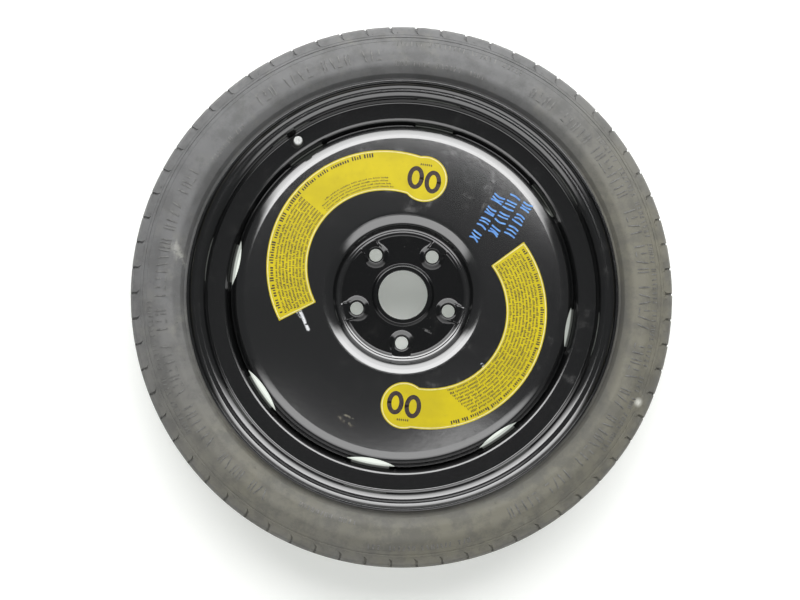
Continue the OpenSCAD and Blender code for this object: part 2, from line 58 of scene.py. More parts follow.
def corner(a, b, c, r):
    """The arc of radius r that rounds corner b on the way from a to c, at about 6 degrees a step."""
    a, b, c = (np.array(p[:2], float) for p in (a, b, c))
    back, on = unit(a - b), unit(c - b)
    half = math.acos(max(-1, min(1, back @ on))) / 2
    centre = b + unit(back + on) * r / math.sin(half)
    start = b + back * r / math.tan(half) - centre
    cross = -back[0] * on[1] + back[1] * on[0]
    turn = math.copysign(180 - 2 * math.degrees(half), cross)
    steps = max(3, math.ceil(abs(turn) / 6))
    return arc(centre, r, math.degrees(math.atan2(start[1], start[0])), turn, steps)


def rounded(path):
    """A path of corners (r, z, bend) as plain points."""
    out = []
    for i, p in enumerate(path):
        if i in (0, len(path) - 1) or len(p) < 3 or p[2] == 0:
            out.append(np.array(p[:2], float))
        else:
            out += corner(path[i - 1], p, path[i + 1], p[2])
    return out


def beside(path, t):
    """The same path moved sideways by t, to its left."""
    out = []
    for i in range(len(path)):
        j, k = max(i, 1), min(i + 1, len(path) - 1)
        before, after = unit(path[j] - path[j - 1]), unit(path[k] - path[k - 1])
        before, after = (np.array([-v[1], v[0]]) for v in (before, after))
        way = unit(before + after)
        out.append(path[i] + way * t / (way @ before))
    return out


def soften(outline, r, least=40):
    """A closed outline with each corner sharper than least degrees rounded to radius r."""
    out = []
    n = len(outline)
    for i in range(n):
        a, b, c = outline[i - 1], outline[i], outline[(i + 1) % n]
        turn = math.degrees(math.acos(max(-1, min(1, unit(b - a) @ unit(c - b)))))
        if turn < least:
            out.append(b)
            continue
        room = min(np.linalg.norm(b - a), np.linalg.norm(c - b)) * 0.45
        fit = min(r, room / math.tan(math.radians(turn / 2)))
        out += corner(a, b, c, fit)
    return out


def dense(points, near=0.5, far=7.0, closed=True):
    """Adds points close to the ends of long stretches, so that smooth shading stays in the bends."""
    out = []
    n = len(points)
    for i in range(n if closed else n - 1):
        a, b = points[i], points[(i + 1) % n]
        length = np.linalg.norm(b - a)
        out.append(a)
        if length > 4 * near:
            inner = length - 2 * near
            count = max(1, math.ceil(inner / far))
            out += [a + (b - a) * (near + inner * k / count) / length for k in range(count + 1)]
    if not closed:
        out.append(points[-1])
    return out


def mirrored(path):
    return [np.array([p[0], -p[1]]) for p in reversed(path)]


# Meshes


def linked(name, data):
    obj = bpy.data.objects.new(name, data)
    bpy.context.scene.collection.objects.link(obj)
    return obj


def piece(name, verts, faces, body="wheel", material=None, sharp=35, weld=True):
    """A mesh object in the row frame from points in mm, smooth but for edges sharper than sharp degrees."""
    mesh = bpy.data.meshes.new(name)
    mesh.from_pydata((np.asarray(verts, float) * MM).tolist(), [], [tuple(map(int, f)) for f in faces])
    obj = linked(name, mesh)
    tidy(mesh, sharp, weld)
    if material:
        mesh.materials.append(material)
    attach(obj, body)
    return obj


def tidy(mesh, sharp=35, weld=True, recalc=True):
    """Joins what lies together, turns the faces outward and shades smooth between sharp edges."""
    bm = bmesh.new()
    bm.from_mesh(mesh)
    if weld:
        bmesh.ops.remove_doubles(bm, verts=bm.verts, dist=2e-6)
    if recalc:
        bmesh.ops.recalc_face_normals(bm, faces=bm.faces)
    bm.to_mesh(mesh)
    bm.free()
    mesh.shade_smooth()
    mesh.set_sharp_from_angle(angle=math.radians(sharp))


def cut(obj, cutter):
    """Takes the cutter's shape out of obj, for good."""
    change = obj.modifiers.new("cut", "BOOLEAN")
    change.operation = "DIFFERENCE"
    change.solver = "MANIFOLD"
    change.object = cutter
    graph = bpy.context.evaluated_depsgraph_get()
    made = bpy.data.meshes.new_from_object(obj.evaluated_get(graph))
    obj.modifiers.clear()
    old = obj.data
    obj.data = made
    made.name = obj.name
    bpy.data.meshes.remove(old)
    bpy.data.objects.remove(cutter)
    tidy(made, recalc=False)


def polar(r, a):
    """The point (x, y) at radius r and a degrees."""
    return r * math.cos(math.radians(a)), r * math.sin(math.radians(a))


def ring_points(r, z, angles):
    a = np.radians(angles)
    return np.stack([r * np.cos(a), r * np.sin(a), np.broadcast_to(z, a.shape)], 1)


def spin(outline, n, closed=True):
    """Verts and faces of an outline of (r, z) turned once round Z with n columns."""
    angles = np.arange(n) * 360 / n
    verts = np.concatenate([ring_points(p[0], p[1], angles) for p in outline])
    faces = []
    m = len(outline)
    for i in range(m if closed else m - 1):
        a, b = i * n, ((i + 1) % m) * n
        for j in range(n):
            k = (j + 1) % n
            faces.append((a + j, a + k, b + k, b + j))
    return verts, faces


def block(r, low, high, n):
    """A plain closed cylinder, used only to cut holes."""
    verts, faces = spin([(r, low), (r, high)], n, closed=False)
    return verts, faces + [tuple(range(n))[::-1], tuple(range(n, 2 * n))]


def zip_rings(first, a, second, b):
    """Faces between two rings of vertices that start at first and second and lie at angles a and b."""
    n, m = len(a), len(b)
    if n == m and np.allclose(a, b):
        return [(first + i, first + (i + 1) % n, second + (i + 1) % n, second + i) for i in range(n)]
    faces = []
    i = j = 0
    while i < n or j < m:
        next_a = a[(i + 1) % n] + 360 * ((i + 1) // n)
        next_b = b[(j + 1) % m] + 360 * ((j + 1) // m)
        if j >= m or (i < n and next_a <= next_b):
            faces.append((first + i % n, first + (i + 1) % n, second + j % m))
            i += 1
        else:
            faces.append((first + i % n, second + (j + 1) % m, second + j % m))
            j += 1
    return faces


def swept(rows):
    """A closed bar through rows of points, each row one section of it."""
    m, last = len(rows[0]), (len(rows) - 1) * len(rows[0])
    faces = []
    for a in range(0, last, m):
        for i in range(m):
            j = (i + 1) % m
            faces.append((a + i, a + j, a + m + j, a + m + i))
    faces += [tuple(range(m)), tuple(range(last + m - 1, last - 1, -1))]
    return [point for row in rows for point in row], faces


def joined(*parts):
    """Several (verts, faces) as one."""
    verts, faces, at = [], [], 0
    for v, f in parts:
        verts.append(np.asarray(v, float).reshape(-1, 3))
        faces += [tuple(at + i for i in face) for face in f]
        at += len(verts[-1])
    return np.concatenate(verts), faces


def placed(part, matrix):
    v, f = part
    m = np.array(matrix, float)
    return np.asarray(v, float) @ m[:3, :3].T + m[:3, 3], f


# Materials


class Look:
    """One procedural material, with short calls for its nodes."""

    def __init__(self, name, colour, roughness, metallic=0.0, ior=1.5):
        self.mat = bpy.data.materials.new(name)
        self.mat.use_nodes = True
        self.tree = self.mat.node_tree
        self.shader = self.tree.nodes["Principled BSDF"]
        self.set("Base Color", (*colour, 1) if isinstance(colour, tuple) else colour)
        self.set("Roughness", roughness)
        self.set("Metallic", metallic)
        self.set("IOR", ior)
        self.here = self.node("ShaderNodeTexCoord").outputs["Object"]

    def set(self, socket, value):
        self.feed(self.shader.inputs[socket], value)

    def node(self, kind, **inputs):
        made = self.tree.nodes.new(kind)
        for name, value in inputs.items():
            self.feed(made.inputs[int(name[1:])] if name[0] == "i" and name[1:].isdigit()
                      else made.inputs[name.replace("_", " ")], value)
        return made

    def feed(self, socket, value):
        if isinstance(value, bpy.types.NodeSocket):
            self.tree.links.new(value, socket)
        else:
            socket.default_value = value

    def math(self, op, a, b=0.0):
        made = self.node("ShaderNodeMath", i0=a, i1=b)
        made.operation = op
        return made.outputs[0]

    def times(self, a, b):
        return self.math("MULTIPLY", a, b)

    def vector(self, op, a, b=(0, 0, 0), out=0):
        made = self.node("ShaderNodeVectorMath", i0=a, i1=b)
        made.operation = op
        return made.outputs[out]

    def noise(self, scale, detail=3.0, rough=0.5, at=None, warp=0.0):
        made = self.node("ShaderNodeTexNoise", Vector=at or self.here, Scale=scale, Detail=detail,
                         Roughness=rough, Distortion=warp)
        return made.outputs["Fac"]

    def span(self, value, low, high, to_low=0.0, to_high=1.0, smooth=True):
        made = self.node("ShaderNodeMapRange", i0=value, i1=low, i2=high, i3=to_low, i4=to_high)
        if smooth:
            made.interpolation_type = "SMOOTHSTEP"
        return made.outputs[0]

    def mix(self, share, a, b):
        made = self.tree.nodes.new("ShaderNodeMix")
        made.data_type = "RGBA"
        self.feed(made.inputs[0], share)
        self.feed(made.inputs[6], (*a, 1) if isinstance(a, tuple) else a)
        self.feed(made.inputs[7], (*b, 1) if isinstance(b, tuple) else b)
        return made.outputs[2]

    def bump(self, height, depth, strength=1.0):
        """depth is in metres"""
        made = self.node("ShaderNodeBump", Height=height, Strength=strength, Distance=depth)
        self.set("Normal", made.outputs[0])

    def polar(self):
        """Radius and height as sockets, and a vector that goes round with the wheel."""
        parts = self.node("ShaderNodeSeparateXYZ", Vector=self.here)
        flat = self.node("ShaderNodeCombineXYZ", X=parts.outputs[0], Y=parts.outputs[1])
        radius = self.vector("LENGTH", flat.outputs[0], out=1)
        return radius, parts.outputs[2], self.vector("NORMALIZE", flat.outputs[0])

    def streak(self, start, end, width):
        """1 on the line from start to end, points in mm, falling to 0 at width."""
        a = Vector((start[0], start[1], 0)) * MM
        along = Vector((end[0], end[1], 0)) * MM - a
        flat = self.vector("MULTIPLY", self.here, (1, 1, 0))
        off = self.vector("SUBTRACT", flat, a)
        share = self.math("DIVIDE", self.vector("DOT_PRODUCT", off, along, out=1), along.length_squared)
        share = self.span(share, 0, 1, 0, 1, smooth=False)
        scaled = self.node("ShaderNodeVectorMath", i0=tuple(along))
        scaled.operation = "SCALE"
        self.feed(scaled.inputs["Scale"], share)
        gap = self.vector("DISTANCE", off, scaled.outputs[0], out=1)
        return self.span(gap, 0.25 * width * MM, width * MM, 1.0, 0.0)

    def spot(self, centre, width):
        """1 at a point in mm, falling to 0 at width."""
        gap = self.vector("DISTANCE", self.here, tuple(Vector(centre) * MM), out=1)
        return self.span(gap, 0, width * MM, 1.0, 0.0)


def rubber_look():
    look = Look("tyre_rubber", (0.1, 0.1, 0.1), 0.7)
    radius, height, way = look.polar()
    broad = look.noise(5.0, 4, 0.6)
    fine = look.noise(60.0, 5, 0.65)
    grain = look.noise(900.0, 3, 0.6)
    # the lower right side is browner than the upper left
    side = look.vector("DOT_PRODUCT", way, (0.5, -0.87, 0), out=1)
    brown = look.times(look.span(side, -0.6, 0.3), look.span(broad, 0.3, 0.6, 0.6, 1.0))
    colour = look.mix(brown, (0.122, 0.123, 0.124), (0.142, 0.136, 0.106))
    swirl = look.noise(9.0, 3, 0.6, warp=1.5)
    dust = look.times(look.span(fine, 0.45, 0.75), look.span(swirl, 0.35, 0.7))
    colour = look.mix(look.times(dust, 0.45), colour, (0.21, 0.205, 0.175))
    mottle = look.span(look.noise(34.0, 6, 0.75), 0.42, 0.62)
    colour = look.mix(look.times(mottle, 0.45), colour, (0.058, 0.059, 0.057))
    # the tread and the shoulder are scuffed paler than the sidewall
    worn = look.times(look.span(radius, 0.300, 0.312), look.span(look.noise(140.0, 4, 0.7), 0.3, 0.8))
    colour = look.mix(look.times(worn, 0.7), colour, (0.15, 0.15, 0.15))
    # painted shade: the ring next to the rim, in the groove between the rim's lip and the sidewall, is
    # darkened in patches
    dark = look.times(look.span(radius, 0.268, 0.251), look.span(look.noise(3.0, 2, 0.5), 0.35, 0.62))
    colour = look.mix(look.times(dark, 0.65), colour, (0.04, 0.04, 0.04))
    smudge = look.span(look.noise(110.0, 4, 0.7), 0.4, 0.62)
    smudge = look.times(look.streak((-261, 57), (-253, 33), 7), smudge)
    colour = look.mix(look.times(smudge, 0.45), colour, (0.42, 0.42, 0.38))
    speck = look.spot((268.4, -124.2, 55), 7.5)
    colour = look.mix(speck, colour, (0.6, 0.6, 0.55))
    look.set("Base Color", colour)
    look.set("Roughness", look.span(fine, 0.3, 0.8, 0.55, 0.78))
    look.bump(look.math("ADD", look.times(fine, 0.6), look.times(grain, 0.4)), 0.0003, 0.5)
    return look.mat


def paint_look(name, gloss, peel_depth, speck_share, marks=False):
    """Black dipped paint with orange peel, thin dust and, on the disc, the photo's scuffs."""
    look = Look(name, (0.01, 0.01, 0.01), 0.2, ior=gloss)
    radius, height, _ = look.polar()
    peel = look.noise(170.0, 2, 0.5)
    broad = look.noise(6.0, 3, 0.55)
    dust = look.times(look.span(look.noise(45.0, 5, 0.65), 0.48, 0.8), look.span(broad, 0.35, 0.7))
    colour = look.mix(look.times(dust, 0.4), (0.0040, 0.0042, 0.0044), (0.016, 0.0155, 0.014))
    specks = look.span(look.noise(420.0, 2, 0.5), 0.73, 0.78)
    colour = look.mix(look.times(specks, speck_share), colour, (0.16, 0.16, 0.15))
    # the hub's pad is duller, and the inside of the well and skirt is matt with dirt in its upper part
    hub = look.span(radius, 0.073, 0.069)
    deep = look.times(look.span(height, 0.032, 0.024), look.span(radius, 0.2012, 0.2007))
    deep = look.times(deep, look.span(radius, 0.150, 0.155))
    ahead = look.vector("DOT_PRODUCT", look.here, (0, 1, 0), out=1)
    deep = look.times(deep, look.span(ahead, 0.085, 0.115))
    pad_gloss, dirt_gloss = 1.62, 1.25
    clean = look.span(hub, 0, 1, gloss, pad_gloss)
    look.set("IOR", look.math("ADD", clean, look.span(deep, 0, 1, 0.0, dirt_gloss - gloss)))
    rough = look.span(dust, 0.0, 0.9, 0.11, 0.22)
    rough = look.math("MAXIMUM", rough, look.span(deep, 0, 1, 0.0, 0.8))
    if marks:
        chalk = look.noise(240.0, 4, 0.7)
        marks_at = [
            ((-121.6, -13.7), (-109.5, -41.0), 2.6, (0.72, 0.73, 0.75), 0.44),
            ((-123.5, -20.0), (-118.5, -27.0), 1.5, (0.30, 0.31, 0.32), 0.53),
            ((-73.5, -141.5), (-59.0, -151.5), 3.4, (0.10, 0.09, 0.07), 0.50),
            ((-69.0, -138.0), (-58.0, -143.0), 1.8, (0.14, 0.13, 0.10), 0.52),
            ((90.5, -81.0), (96.5, -87.5), 2.2, (0.55, 0.60, 0.70), 0.48),
            ((70.0, 118.0), (79.0, 111.0), 3.0, (0.06, 0.06, 0.06), 0.5),
            ((24.0, -40.0), (33.0, -44.0), 2.0, (0.10, 0.10, 0.10), 0.5),
        ]
        for start, end, width, tint, cover in marks_at:
            broken = look.span(chalk, cover - 0.06, cover + 0.06)
            share = look.times(look.streak(start, end, width), broken)
            colour = look.mix(share, colour, tint)
    look.set("Base Color", colour)
    look.set("Roughness", rough)
    look.bump(peel, peel_depth, 0.35)
    return look.mat


def plain_look(name, colour, dark, roughness, scale, metallic=0.0, depth=0.0, ior=1.5):
    """A colour that varies a little, with matching roughness and fine bump."""
    look = Look(name, colour, roughness, metallic, ior)
    grain = look.noise(scale, 4, 0.6)
    look.set("Base Color", look.mix(look.span(grain, 0.35, 0.7), colour, dark))
    look.set("Roughness", look.span(grain, 0.3, 0.8, roughness * 0.8, min(1, roughness * 1.25)))
    if depth:
        look.bump(grain, depth, 0.6)
    return look.mat


def label_look(name):
    """Yellow film, a little uneven and soiled."""
    look = Look(name, (0.5, 0.4, 0.005), 0.42, ior=1.33)
    broad = look.noise(22.0, 3, 0.6)
    grime = look.noise(160.0, 5, 0.7)
    colour = look.mix(look.span(broad, 0.35, 0.65), (0.50, 0.405, 0.0035), (0.43, 0.35, 0.005))
    colour = look.mix(look.times(look.span(grime, 0.55, 0.8), 0.35), colour, (0.30, 0.24, 0.02))
    look.set("Base Color", colour)
    look.set("Roughness", look.span(grime, 0.3, 0.8, 0.32, 0.5))
    look.bump(look.noise(60.0, 2, 0.5), 0.00008, 0.4)
    return look.mat


rubber = rubber_look()
# the raised bars are paler rubber: partly scuffed tops, partly a painted highlight where they catch the light
raised_rubber = plain_look("tyre_raised_rubber", (0.155, 0.154, 0.148), (0.075, 0.075, 0.072), 0.55, 260,
                           depth=0.0002)
paint = paint_look("wheel_paint", 2.05, 0.00002, 0.08)
disc_paint = paint_look("disc_paint", 2.4, 0.00005, 0.25, marks=True)
weld_paint = plain_look("weld_paint", (0.012, 0.012, 0.012), (0.03, 0.028, 0.024), 0.34, 300, depth=0.00012,
                        ior=1.7)
valve_rubber = plain_look("valve_rubber", (0.02, 0.02, 0.02), (0.045, 0.045, 0.042), 0.55, 500, depth=0.00005)
brass = plain_look("valve_brass", (0.72, 0.52, 0.22), (0.5, 0.36, 0.16), 0.3, 700, metallic=1.0,
                   depth=0.00001)
core_brass = plain_look("core_brass", (0.80, 0.62, 0.28), (0.62, 0.46, 0.2), 0.26, 900, metallic=1.0)
red_rubber = plain_look("gasket_red", (0.5, 0.05, 0.03), (0.35, 0.035, 0.02), 0.5, 900)
steel = plain_look("spring_steel", (0.55, 0.56, 0.57), (0.42, 0.43, 0.44), 0.28, 900, metallic=1.0)
black_rubber = plain_look("seal_rubber", (0.02, 0.02, 0.02), (0.04, 0.04, 0.04), 0.5, 900)
cap_plastic = plain_look("cap_plastic", (0.50, 0.51, 0.50), (0.38, 0.39, 0.38), 0.42, 600, depth=0.00004)
yellow = label_look("label_film")
pale_line = plain_look("label_edge", (0.64, 0.61, 0.36), (0.54, 0.50, 0.24), 0.45, 300, ior=1.33)
ink = plain_look("label_ink", (0.022, 0.014, 0.016), (0.05, 0.036, 0.028), 0.5, 500, ior=1.33)
blue_ink = plain_look("marker_blue", (0.05, 0.17, 0.46), (0.12, 0.30, 0.62), 0.45, 260)

# Tyre

TREAD_R, CROWN_DROP, TREAD_HALF, TREAD_END = 316, 4.5, 50, 45.45
GROOVES, GROOVE_HALF = [-24, 0, 24], 3.2
NOTCHES, PLAIN_COLUMNS = 66, 264
NOTCH_R, NOTCH_TOP, NOTCH_FLOOR = 311, 1.3, 1.05
NOTCH_DEPTH, SIPE_DEPTH = 2.3, 2.2
SIDEWALL = [(254.8, 56.95, 4), (264.5, 62.5, 12), (280.5, 62.5, 20)]


def tread_r(z):
    """Radius of the crowned tread at height z."""
    return TREAD_R - CROWN_DROP * (z / TREAD_HALF) ** 2


def tyre_outline():
    """The tyre's closed section: outer half, tread with its grooves, the other half and the lining."""
    bead = rounded([(230.02, 30.95), (231.2, 44.25, 7.5), (238.8, 44.25)])
    bead += arc((238.8, 53.95), 9.7, -78, 58, 10)
    last = bead[-1]
    side = rounded([
        (last[0], last[1]), (250.9, 51.45, 1), *SIDEWALL, (309, 51.5, 4), (311.78, TREAD_END),
    ])[1:-1]
    # two fine rings moulded on the sidewall, and the line round its outer part
    side = relief(side, [(261.5, 0.25, 0.5), (292.4, -0.25, 0.35), (297.0, -0.75, 0.55), (300.2, -0.3, 0.4)])
    crown = []
    for z in np.linspace(TREAD_END, -TREAD_END, 61):
        if all(abs(z - g) > GROOVE_HALF for g in GROOVES):
            crown.append(np.array([tread_r(z), z]))
    for g in GROOVES:
        top = tread_r(g)
        walls = [(top, g + 2.9), (top - 0.25, g + 2.5), (top - 2.7, g + 2.1), (top - 3, g + 1.7),
                 (top - 3, g)]
        walls += [(r, 2 * g - z) for r, z in reversed(walls[:-1])]
        crown += [np.array(p) for p in walls]
    crown.sort(key=lambda p: -p[1])
    outer = bead + side
    lining = rounded([
        (230.02, 30.95), (234, 30.95, 2), (242.3, 34.95, 10), (256.5, 51.2, 16), (272.5, 57.4, 18.3),
        (294.5, 49, 16), (305.5, 33, 14), (305.5, 0),
    ])[1:]
    inner = mirrored(lining)[::-1]
    return outer + crown + mirrored(outer) + inner[:-1] + lining[::-1]


def relief(path, rings):
    """Adds small ridges, or grooves where the height is below 0, at given radii of a path."""
    out = []
    for a, b in zip(path, path[1:] + [None]):
        out.append(a)
        if b is None:
            continue
        for r, height, half in rings:
            if a[0] < r - half and b[0] > r + half:
                way = unit(b - a)
                up = np.array([-way[1], way[0]])
                up = up if up[1] > 0 else -up
                mid = a + way * (r - a[0]) / way[0]
                out += [mid - way * half, mid - way * half * 0.5 + up * height,
                        mid + way * half * 0.5 + up * height, mid + way * half]
    return out


def tyre_mesh():
    """The tyre spun once round, with extra columns where the shoulder notches and the sipes are."""
    outline = dense(soften(tyre_outline(), 0.3, 60), 0.6, 5.0)
    keep = []
    for p in outline:
        if not keep or np.linalg.norm(p - keep[-1]) > 0.05:
            keep.append(p)
    outline = keep
    n = len(outline)
    pitch = 360 / NOTCHES
    plain = (np.arange(PLAIN_COLUMNS) + 0.5) * 360 / PLAIN_COLUMNS
    sets = {0: plain}
    edge, floor = math.degrees(NOTCH_TOP / NOTCH_R), math.degrees(NOTCH_FLOOR / NOTCH_R)
    for side in (1, -1):
        centres = np.arange(NOTCHES) * pitch + (0 if side > 0 else pitch / 2)
        extra = np.concatenate([centres + d for d in (-edge, -floor, floor, edge)]) % 360
        sets[side] = np.sort(np.concatenate([plain, extra]))
    rings, verts, faces = [], [], []
    at = 0
    for i, p in enumerate(outline):
        outside = p[0] > 301.5 and not (p[0] < 306 and abs(p[1]) < 50)
        outside = outside and not (p[0] < 306.5 and abs(p[1]) < 45)
        zone = 0
        if outside and abs(p[1]) > 2.6:
            zone = 1 if p[1] > 0 else -1
        angles = sets[zone]
        way = unit(outline[(i + 1) % n] - outline[i - 1])
        inward = np.array([way[1], -way[0]])
        if inward @ np.array([p[0] - 273, p[1]]) > 0:
            inward = -inward
        depth = np.zeros(len(angles))
        if zone:
            centres = 0 if zone > 0 else pitch / 2
            off = np.abs((angles - centres + pitch / 2) % pitch - pitch / 2)
            inside = off < (edge + floor) / 2
            z = abs(p[1])
            if z > 34.8:  # shoulder notch
                depth[inside] = NOTCH_DEPTH if p[0] > 303.6 else 0
            elif 4 < z < 19.9:  # sipe in the rib
                depth[inside] = SIPE_DEPTH
        ring = ring_points(p[0], p[1], angles)
        ring[:, :2] += ring_points(1.0, 0, angles)[:, :2] * (inward[0] * depth)[:, None]
        ring[:, 2] += inward[1] * depth
        verts.append(ring)
        rings.append((at, angles))
        at += len(angles)
    for i in range(n):
        (a, aa), (b, ab) = rings[i], rings[(i + 1) % n]
        faces += zip_rings(a, aa, b, ab)
    return np.concatenate(verts), faces


SIDE = dense(rounded([(250.9, 51.45), *SIDEWALL, (309, 51.5)]), 0.5, 1.5, closed=False)
SUNK = 0.4
SIDE_R = np.array([p[0] for p in SIDE])
SIDE_Z = np.array([p[1] for p in SIDE])


def side_z(r):
    """Height of the sidewall's surface at radius r."""
    return float(np.interp(r, SIDE_R, SIDE_Z))


def side_bar(angle, r0, r1, half, up, side=1, skew=0.0):
    """A raised bar on the sidewall from r0 to r1, half wide each way, its top up above the rubber."""
    steps = max(2, math.ceil((r1 - r0) / 4))
    rows = []
    for k in range(steps + 1):
        r = r0 + (r1 - r0) * k / steps
        z = side_z(r)
        lift = up if 0 < k < steps else up * 0.55
        a = math.radians(angle) + skew * (r - (r0 + r1) / 2) / r
        row = []
        for s, w, h in ((-1, half, -SUNK), (-1, half * 0.72, lift), (1, half * 0.72, lift), (1, half, -SUNK)):
            t = a + s * w / r
            row.append((r * math.cos(t), r * math.sin(t), side * (z + h)))
        rows.append(row)
    return swept(rows)


def side_arc(a0, a1, r, half, up, side=1):
    """A raised dash along the sidewall, between two angles."""
    steps = max(2, math.ceil(abs(a1 - a0) * r * math.pi / 180 / 3))
    rows = []
    for k in range(steps + 1):
        a = a0 + (a1 - a0) * k / steps
        section = ((-half, -SUNK), (-half * 0.7, up), (half * 0.7, up), (half, -SUNK))
        rows.append([(*polar(r + dr, a), side * (side_z(r + dr) + h)) for dr, h in section])
    return swept(rows)


def marks_round(a0, a1, r0, r1, step, up, side):
    """Groups of plain raised bars and dashes where the real sidewall has moulded writing."""
    parts = []
    a = a0
    while a < a1:
        for _ in range(rng.randint(3, 8)):
            if a > a1:
                break
            kind = rng.random()
            if kind < 0.55:
                parts.append(side_bar(a, r0, r1, 0.85, up, side, rng.choice((0, 0, 0.25, -0.25))))
            elif kind < 0.75:
                parts.append(side_bar(a, r0 + (r1 - r0) * 0.45, r1, 0.85, up, side))
                parts.append(side_arc(a - step * 0.3, a + step * 0.3, r0 + 1, 0.8, up, side))
            else:
                parts += [side_bar(a + step * s, r0, r1, 0.7, up, side) for s in (-0.22, 0.22)]
            a += step * rng.uniform(0.9, 1.15)
        a += step * rng.uniform(0.7, 1.6)
    return parts


def sidewall_marks():
    parts = []
    for side in (1, -1):
        turn = 0 if side > 0 else 40
        for a0, a1 in ((-64, 58), (96, 128), (150, 236)):
            parts += marks_round(a0 + turn, a1 + turn, 270.0, 283.5, 1.8, 0.75, side)
        for a0, a1 in ((-38, 40), (62, 92), (182, 214), (262, 286)):
            parts += marks_round(a0 + turn, a1 + turn, 286.2, 292.0, 1.05, 0.5, side)
        for a0, a1 in ((70, 92), (134, 146), (244, 258)):
            parts += marks_round(a0 + turn, a1 + turn, 262.8, 268.2, 1.1, 0.4, side)
    return joined(*parts)


def vent_nubs():
    """Short rubber whiskers left by the mould's vents."""
    parts = []
    for side in (1, -1):
        for k in range(44):
            a = math.radians(k * 360 / 44 + rng.uniform(-1.5, 1.5))
            r = rng.choice((303.5, 303.5, 259.5))
            tip = rng.uniform(0.8, 2.2)
            z = side_z(r)
            outline = [(0.0, -0.6), (0.55, -0.6), (0.42, tip * 0.6), (0.3, tip), (0.0, tip + 0.08)]
            v, f = spin(outline, 8, closed=False)
            m = Matrix.Translation((r * math.cos(a), r * math.sin(a), side * z))
            if side < 0:
                m = m @ Matrix.Rotation(math.pi, 4, "X")
            parts.append(placed((v, f), m))
    return joined(*parts)


tyre = piece("tyre_rubber", *tyre_mesh(), material=rubber, sharp=38)
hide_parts("tyre")
marks = piece("tyre_sidewall_bars", *sidewall_marks(), material=raised_rubber, weld=False)
nubs = piece("tyre_vent_nubs", *vent_nubs(), material=rubber)

# Valve's place

VALVE_ANGLE, VALVE_TILT = 124.6, 7.976
VALVE_SEAT = (218.257, 25.243)
at_valve = (Matrix.Rotation(math.radians(VALVE_ANGLE), 4, "Z")
            @ Matrix.Translation((VALVE_SEAT[0], 0, VALVE_SEAT[1]))
            @ Matrix.Rotation(math.radians(-VALVE_TILT), 4, "Y"))

# Rim

RIM_T = 2.8
rim_half = [(247.7, 55.65), (248.3, 44.45, 9.5), (231, 44.45, 6.5), (229.82, 30.95, 2), (230.31, 27.45, 3),
            (229.21, 23.95, 4.5), (202.8, 20.25, 8)]
rim_path = rounded(rim_half + [(p[0], -p[1], *p[2:]) for p in reversed(rim_half)])
rim_outline = dense(soften(rim_path + beside(rim_path, -RIM_T)[::-1], 0.7, 50), 0.5, 6)
rim = piece("rim_steel", *spin(rim_outline, 336), material=paint)
cutter = piece("cutter", *placed(block(5.75, -9, 6, 48), at_valve))
cut(rim, cutter)
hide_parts("rim")

# Disc

DISC_T, PAD_Z, LEDGE_Z, BACK_Z, FACE_Z = 4.0, 29.5, 32.5, 25.5, 45.0
BOLT_N, BOLT_R, BOLT_AT, BOLT_ANGLE = 5, 7.5, 56.0, 52.4
PAD_R = 70.0
BOSS_Z, BOSS_R, BOSS_LEAN = 32.0, 9.8, 2.5 / 4.2
BALL_R, BALL_Z = 13.0, 40.874
BACK_R, BACK_LOBE, BACK_BLEND = 72.0, 19.4, 3.0
FRONT_JOIN, BACK_JOIN = 74.2, 77.6
BORE_FRONT, BORE_BACK = 37.5, 35.0
NEAR_BOLT = 15.7
SLOT_N, SLOT_ANGLE, SLOT_R, SLOT_AT = 8, 34.2, 86.0, 277.88
SKIRT_R, SKIRT_IN, SKIRT_END = 199.88, 195.88, -2
bolts = [polar(BOLT_AT, BOLT_ANGLE + 72 * k) for k in range(BOLT_N)]
sheet_front = rounded([(70, LEDGE_Z), (77, LEDGE_Z, 4), (81.29, 40.875, 8), (90, FACE_Z, 26),
                       (SKIRT_R, FACE_Z, 18), (SKIRT_R, SKIRT_END)])
sheet_back = beside(sheet_front, -DISC_T)


def soft_max(a, b, k):
    return np.maximum(a, b) + np.maximum(k - np.abs(a - b), 0) ** 2 / (4 * k)


def soft_min(a, b, k):
    return -soft_max(-a, -b, k)


def nearest_bolt(x, y):
    """Distance from the nearest bolt's axis, and how far out and to the side of it the point lies."""
    apart = np.array([np.hypot(x - bx, y - by) for bx, by in bolts])
    k = np.argmin(apart, axis=0)
    a = np.radians(BOLT_ANGLE + 72 * k)
    out = x * np.cos(a) + y * np.sin(a) - BOLT_AT
    return np.min(apart, axis=0), out, np.abs(y * np.cos(a) - x * np.sin(a))


def hub_front(x, y):
    """The pad, the step round it, and a boss at each bolt that runs out into the step."""
    r = np.hypot(x, y)
    q, out, aside = nearest_bolt(x, y)
    step = soft_min(soft_max(PAD_Z, PAD_Z + r - PAD_R, 1.0), LEDGE_Z, 1.0)
    cone = BOSS_Z - BOSS_LEAN * (q - BOSS_R)
    arm = np.where(out > 0, BOSS_Z - 2.2 * (aside - BOSS_R), cone)
    boss = soft_min(soft_max(cone, arm, 0.8), BOSS_Z, 0.35)
    z = soft_max(step, boss, 0.45)
    seat = BALL_Z - np.sqrt(np.maximum(BALL_R**2 - q * q, 0.01))
    return np.where(q < 12, soft_min(z, seat, 0.25), z)


def hub_back(x, y):
    """The mounting face with a lobe round each bolt, and the slope up to the ledge's back."""
    r = np.hypot(x, y)
    q, _, _ = nearest_bolt(x, y)
    d = soft_min(r - BACK_R, q - BACK_LOBE, BACK_BLEND)
    ledge = np.interp(r, [p[0] for p in sheet_back[:20]], [p[1] for p in sheet_back[:20]])
    z = BACK_Z + (ledge - BACK_Z) * smooth((d + 1.3) / 2.6)
    return z + np.where(q < 13.5, np.clip((13.5 - q) / 1.5, 0, 1), 0)


def smooth(x):
    x = np.clip(x, 0, 1)
    return x * x * (3 - 2 * x)


